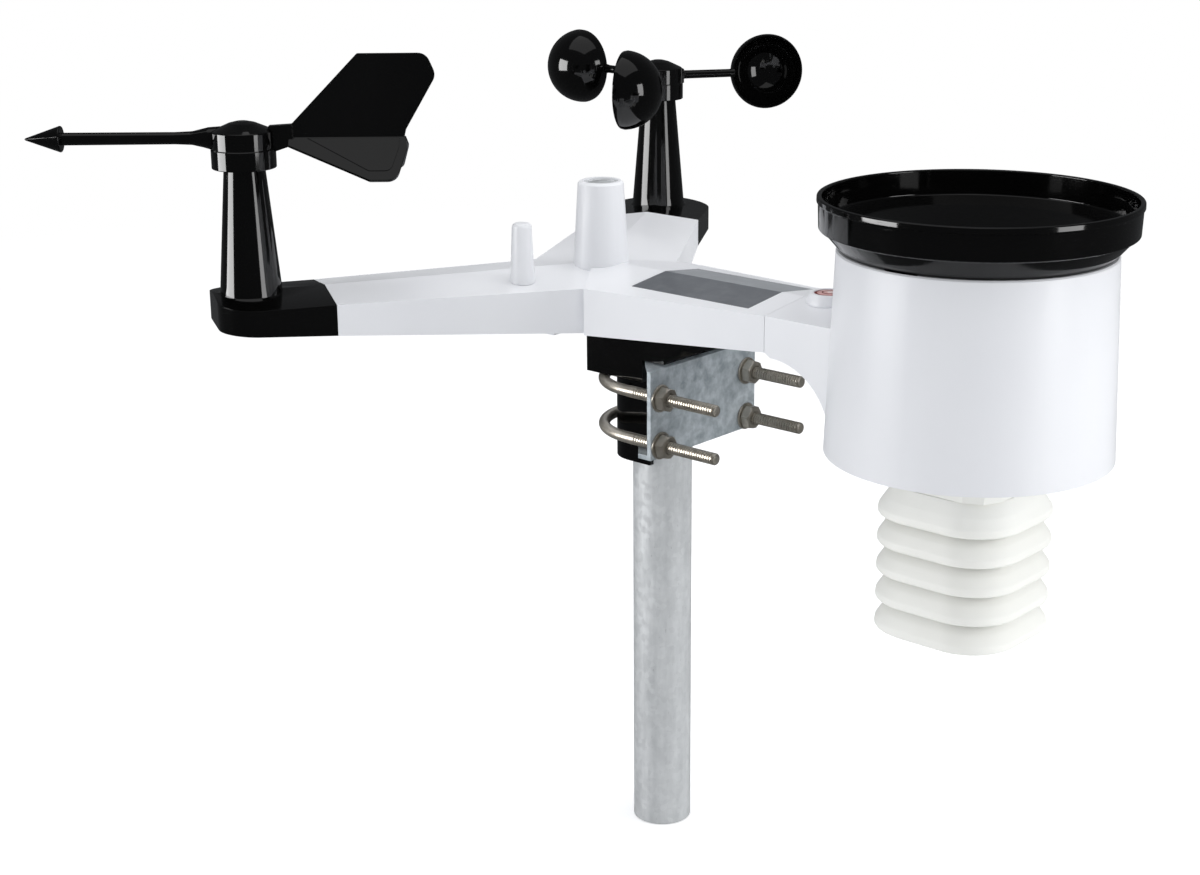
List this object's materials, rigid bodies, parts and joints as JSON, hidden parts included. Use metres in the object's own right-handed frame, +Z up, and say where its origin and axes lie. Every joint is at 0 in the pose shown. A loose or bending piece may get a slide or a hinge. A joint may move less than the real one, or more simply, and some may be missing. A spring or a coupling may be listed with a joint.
{
  "type": "home weather station",
  "caption": "Pole-mounted home weather station with wind vane, cup anemometer, tipping-bucket rain gauge, solar window and a louvred radiation shield.",
  "frame": {"origin": "on the mast tube's axis at its lower end", "axes": "+Z up along the mast, +X along the arm that carries the rain gauge, +Y towards the cup wheel"},
  "size_m": [0.3958, 0.3789, 0.3443],
  "materials": {
    "white_abs": "glossy moulded ABS",
    "black_abs": "glossy moulded ABS",
    "shield_white": "matte moulded plastic",
    "solar_glass": "tinted smooth",
    "cell_blue": "smooth solar wafer",
    "clear_lens": "clear smooth",
    "level_pink": "clear smooth",
    "galvanised": "mottled zinc",
    "stainless": "bright",
    "mast_zinc": "satin zinc",
    "board_green": "solder mask",
    "inner_black": "moulded",
    "cell_can": "printed sleeve",
    "screen_metal": "satin",
    "magnet": "nickel plated",
    "brass": "plain"
  },
  "bodies": {
    "station": {"mast_tube": "mast_zinc", "mast_socket": "black_abs", "clamp_plate": "galvanised", "clamp_u_bolts": "stainless", "clamp_washers": "stainless", "clamp_nuts": "stainless", "body_upper_shell": "white_abs", "body_lower_cover": "white_abs", "cover_screws": "stainless", "solar_window": "solar_glass", "solar_cells": "cell_blue", "main_board": "board_green", "button_switch": "inner_black", "status_lens": "clear_lens", "door_hinge_pin": "stainless", "batteries": "cell_can", "battery_contacts": "brass", "sensor_pillar": "white_abs", "light_sensor_lens": "clear_lens", "antenna_cover": "white_abs", "antenna_rod": "brass", "bubble_level": "white_abs", "bubble_vial": "level_pink", "vane_tower": "black_abs", "vane_bearings": "stainless", "vane_sensor_board": "board_green", "cup_tower": "black_abs", "cup_bearings": "stainless", "cup_sensor_board": "board_green", "tower_floor_plates": "black_abs", "gauge_base": "white_abs", "gauge_floor": "white_abs", "rocker_pin": "stainless", "reed_switch_board": "board_green", "shield_neck": "shield_white", "shield_louvres": "shield_white", "shield_bottom": "shield_white", "shield_screws": "stainless", "humidity_probe_board": "board_green"},
    "wind_vane": {"wind_vane": "black_abs", "vane_shaft": "stainless", "vane_magnet": "magnet", "vane_set_screw": "stainless"},
    "cup_wheel": {"cup_wheel": "black_abs", "cup_shaft": "stainless", "cup_magnet": "magnet", "cup_set_screw": "stainless"},
    "funnel": {"rain_funnel": "black_abs", "debris_screen": "screen_metal"},
    "rocker": {"tipping_bucket": "inner_black", "rocker_magnet": "magnet"},
    "battery_door": {"battery_door": "white_abs"},
    "reset_button": {"reset_button": "inner_black"}
  },
  "joints": [
    {"name": "vane_turn", "type": "hinge", "parent": "station", "child": "wind_vane", "pos_m": [-0.11163, -0.12873, 0.2464], "axis": [0, 0, 1], "continuous": true},
    {"name": "cup_turn", "type": "hinge", "parent": "station", "child": "cup_wheel", "pos_m": [-0.11163, 0.12873, 0.2464], "axis": [0, 0, 1], "continuous": true},
    {"name": "funnel_twist", "type": "hinge", "parent": "station", "child": "funnel", "pos_m": [0.1515, 0, 0.2464], "axis": [0, 0, 1], "range_deg": [0, 30]},
    {"name": "rocker_tip", "type": "hinge", "parent": "station", "child": "rocker", "pos_m": [0.1515, 0, 0.2264], "axis": [0, 1, 0], "range_deg": [0, 24]},
    {"name": "battery_door_hinge", "type": "hinge", "parent": "station", "child": "battery_door", "pos_m": [-0.073, 0, 0.224], "axis": [0, 1, 0], "range_deg": [0, 100]},
    {"name": "reset_press", "type": "slide", "parent": "station", "child": "reset_button", "axis": [0, 0, 1], "range_m": [0, 0.0008]}
  ]
}
